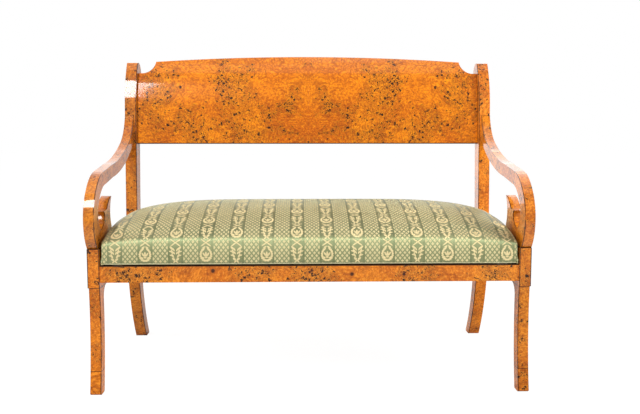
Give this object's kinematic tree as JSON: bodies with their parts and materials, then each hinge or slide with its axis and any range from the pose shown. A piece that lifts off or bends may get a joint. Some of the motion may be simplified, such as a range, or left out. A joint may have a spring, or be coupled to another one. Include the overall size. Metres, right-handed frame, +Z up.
{
  "type": "sofa",
  "caption": "Biedermeier sofa with scrolled open arms, sabre legs, a rolled burl tablet back and a loose crowned seat in striped fabric that lifts out.",
  "frame": {"origin": "on the floor, below the middle of the sofa's bounding box", "axes": "+X to the right as seen from the front, +Y to the back, +Z up"},
  "size_m": [1.18, 0.675, 0.943],
  "materials": {
    "burl_wood": "french polished birch burl, glossy",
    "bookmatched_veneer": "french polished bookmatched birch burl, glossy",
    "panel_core": "stained softwood back, satin",
    "frame_wood": "plain unpolished softwood",
    "dowel_wood": "plain beech",
    "webbing": "woven jute webbing",
    "hessian": "plain woven hessian",
    "stuffing": "hair stuffing under calico",
    "striped_cover": "woven sage and cream stripe, soft sheen"
  },
  "bodies": {
    "frame": {"left_front_leg": "burl_wood", "right_front_leg": "burl_wood", "left_rear_post": "burl_wood", "right_rear_post": "burl_wood", "left_arm": "burl_wood", "right_arm": "burl_wood", "left_side_rail": "burl_wood", "right_side_rail": "burl_wood", "front_rail": "burl_wood", "back_rail": "burl_wood", "left_veneer_leaf": "bookmatched_veneer", "right_veneer_leaf": "bookmatched_veneer", "back_panel": "panel_core", "center_brace": "frame_wood", "left_front_corner_block": "frame_wood", "right_front_corner_block": "frame_wood", "left_back_corner_block": "frame_wood", "right_back_corner_block": "frame_wood", "left_cleat": "frame_wood", "right_cleat": "frame_wood", "front_cleat": "frame_wood", "back_cleat": "frame_wood", "arm_foot_dowels": "dowel_wood", "arm_root_dowels": "dowel_wood", "panel_dowels": "dowel_wood"},
    "seat": {"seat_cover": "striped_cover", "seat_stuffing": "stuffing", "seat_hessian": "hessian", "seat_webbing_long": "webbing", "seat_webbing_cross": "webbing", "seat_frame_left": "frame_wood", "seat_frame_right": "frame_wood", "seat_frame_brace": "frame_wood", "seat_frame_front": "frame_wood", "seat_frame_back": "frame_wood"}
  },
  "joints": [
    {"name": "seat_lift", "type": "slide", "parent": "frame", "child": "seat", "axis": [0, 0, 1], "range_m": [0, 0.6]}
  ]
}
